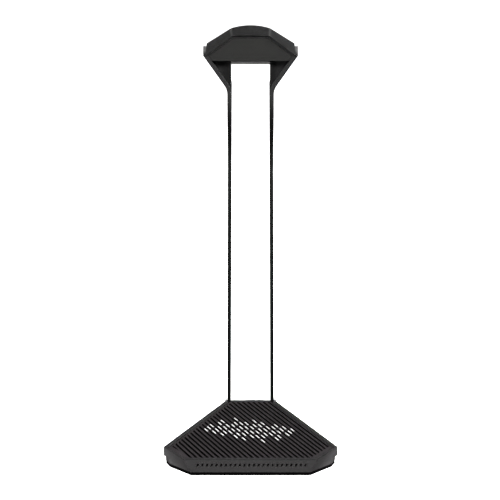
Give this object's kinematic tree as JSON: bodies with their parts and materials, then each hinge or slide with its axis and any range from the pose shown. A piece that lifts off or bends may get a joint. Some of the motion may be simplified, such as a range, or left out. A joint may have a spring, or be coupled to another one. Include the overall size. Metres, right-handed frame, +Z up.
{
  "type": "headphone stand",
  "caption": "Black headphone stand: a trapezoid base with slanting ribs, two slender flat steel legs, and a three-facet hanger with a soft pad over a framed window.",
  "frame": {"origin": "centre of the bounding box, at the underside of the rubber mat", "axes": "+Z is up along the legs, -Y is the front with the wide straight edge and its row of slots, +X is to the right as seen from the front"},
  "size_m": [0.1076, 0.1088, 0.2597],
  "materials": {
    "rubber_mat": "matte rubber sheet",
    "moulded_plastic": "fine moulded texture, near black",
    "panel_plastic": "fine moulded texture, near black",
    "fascia_plastic": "smooth matte, near black",
    "bar_plastic": "smooth matte, dark grey",
    "powder_steel": "fine black powder coat",
    "satin_steel": "satin black paint",
    "bare_steel": "zinc plated, plain",
    "zinc_screw": "zinc plated",
    "black_screw": "black oxide",
    "inlay_white": "satin white",
    "pad_rubber": "matte silicone with fine diagonal hatching"
  },
  "bodies": {
    "root": {"anti_slip_mat": "rubber_mat", "base_tray": "moulded_plastic", "ballast_plate": "bare_steel", "ballast_screws": "zinc_screw", "base_cover": "moulded_plastic", "cover_screws": "zinc_screw", "ribbed_panel": "panel_plastic", "rib_inlays": "inlay_white", "foot_bridge": "bare_steel", "foot_screws": "black_screw", "right_leg": "powder_steel", "left_leg": "powder_steel", "right_collar": "satin_steel", "left_collar": "satin_steel", "hanger_web": "powder_steel", "fascia": "fascia_plastic", "cross_bar": "bar_plastic", "rear_plate": "fascia_plastic", "hanger_spacers": "bare_steel", "hanger_screws": "black_screw", "saddle_plate": "powder_steel", "cradle_pad": "pad_rubber", "pad_pegs": "pad_rubber"}
  },
  "joints": []
}
